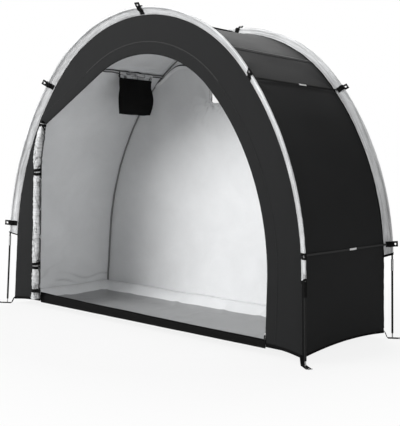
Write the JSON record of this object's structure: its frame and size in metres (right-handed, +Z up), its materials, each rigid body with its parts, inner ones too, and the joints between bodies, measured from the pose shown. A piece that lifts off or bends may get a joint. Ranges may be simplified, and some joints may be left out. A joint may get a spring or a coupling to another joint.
{
  "type": "bike shelter tent",
  "caption": "Arched cloth bike shelter on bent poles in fin sleeves, its front door rolled up and tied aside, with a sewn-in floor, guy tabs and foot straps.",
  "frame": {"origin": "on the ground, midway between the four pole feet", "axes": "+X across the front, to the right as seen from outside the doorway, +Y from the doorway to the back wall, +Z up"},
  "size_m": [2.0948, 0.8622, 1.5822],
  "materials": {
    "outer_cloth": "coated charcoal Oxford weave outside, silver coating inside",
    "silver_cloth": "silver-coated weave, soft sheen",
    "floor_cloth": "silver-grey coated sheet, matte",
    "sill_cloth": "black coated weave",
    "webbing": "black woven webbing",
    "pole_rod": "black glass-fibre rod, satin",
    "ferrule_metal": "bare drawn tube",
    "pin_metal": "bare turned pin",
    "clear_film": "clear soft film",
    "reflective_patch": "pale reflective tape"
  },
  "bodies": {
    "root": {"front_header_panel": "outer_cloth", "front_left_panel": "outer_cloth", "front_right_panel": "outer_cloth", "left_end_panel": "outer_cloth", "roof_top_panel": "outer_cloth", "right_end_panel": "outer_cloth", "back_panel": "outer_cloth", "front_sleeve": "silver_cloth", "rear_sleeve": "silver_cloth", "rolled_door": "silver_cloth", "pocket_band": "silver_cloth", "floor_sheet": "floor_cloth", "door_sill": "sill_cloth", "hanging_pocket": "sill_cloth", "door_tie_upper": "webbing", "door_tie_middle": "webbing", "door_tie_lower": "webbing", "front_guy_tabs": "webbing", "rear_guy_tabs": "webbing", "ridge_tie_strap": "webbing", "right_upper_tie_strap": "webbing", "right_lower_tie_strap": "webbing", "left_upper_tie_strap": "webbing", "left_lower_tie_strap": "webbing", "front_left_foot_strap": "webbing", "front_right_foot_strap": "webbing", "rear_left_foot_strap": "webbing", "rear_right_foot_strap": "webbing", "front_pole_arch": "pole_rod", "rear_pole_arch": "pole_rod", "front_left_pole_leg": "pole_rod", "front_right_pole_leg": "pole_rod", "rear_left_pole_leg": "pole_rod", "rear_right_pole_leg": "pole_rod", "pole_ferrules": "ferrule_metal", "pole_foot_pins": "pin_metal", "back_window_pane": "clear_film", "strap_reflectors": "reflective_patch"}
  },
  "joints": []
}
